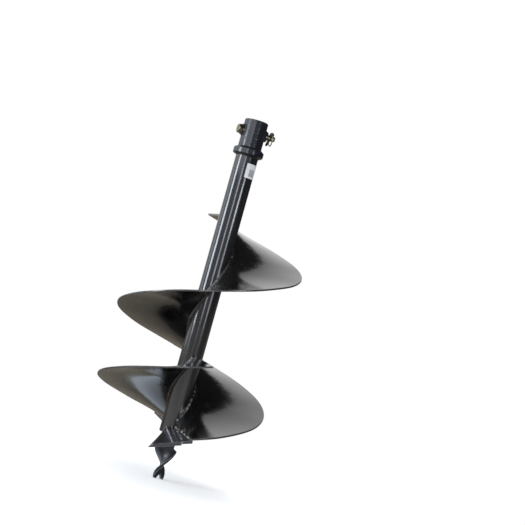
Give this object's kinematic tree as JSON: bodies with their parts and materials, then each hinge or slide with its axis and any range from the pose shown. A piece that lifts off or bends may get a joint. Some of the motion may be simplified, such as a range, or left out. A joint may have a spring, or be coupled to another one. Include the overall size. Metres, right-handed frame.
{
  "type": "earth auger bit",
  "caption": "Earth auger for a small loader: round drive hub with cross pin and lynch pin, tube, helical flights, bevelled knives and a twisted fishtail pilot.",
  "frame": {"origin": "centre of the drive socket's mouth, in the plane of the hub's end face", "axes": "+Z along the auger's axis, up out of the socket towards the machine's drive; +X along the cross pin towards its plain end with the lynch pin"},
  "size_m": [0.6, 0.616, 1.294],
  "materials": {
    "hub_black": "semi-gloss",
    "gloss_black": "high gloss",
    "blade_black": "satin",
    "zinc_yellow": "yellow zinc plated",
    "ring_wire": "plated spring wire",
    "label_white": "matte"
  },
  "bodies": {
    "auger": {"blade_support_front": "gloss_black", "blade_support_rear": "gloss_black", "flight_a_lower": "gloss_black", "flight_a_middle": "gloss_black", "flight_a_upper": "gloss_black", "flight_b": "gloss_black", "hub_collar": "hub_black", "hub_sleeve": "hub_black", "hub_spigot": "hub_black", "knife_front": "blade_black", "knife_rear": "blade_black", "main_tube": "gloss_black", "pilot": "blade_black", "pin_boss_head": "hub_black", "pin_boss_tail": "hub_black", "tube_end_plug": "gloss_black", "tube_label": "label_white"},
    "drive_pin": {"drive_pin": "zinc_yellow"},
    "lynch_pin": {"lynch_pin": "zinc_yellow"},
    "lynch_ring": {"lynch_ring": "ring_wire"}
  },
  "joints": [
    {"name": "drive_pin_slide", "type": "slide", "parent": "auger", "child": "drive_pin", "axis": [-1, 0, 0], "range_m": [0, 0.008]},
    {"name": "lynch_pin_pull", "type": "slide", "parent": "drive_pin", "child": "lynch_pin", "axis": [0, -0.6157, 0.788], "range_m": [0, 0.05]},
    {"name": "lynch_ring_flip", "type": "hinge", "parent": "lynch_pin", "child": "lynch_ring", "pos_m": [0.065, -0.01004, -0.02916], "axis": [0, -0.788, -0.6157], "range_deg": [0, 165]}
  ],
  "couplings": [
    {"joint": "lynch_ring_flip", "follows": "lynch_pin_pull", "rad_per_m": 57.59}
  ]
}
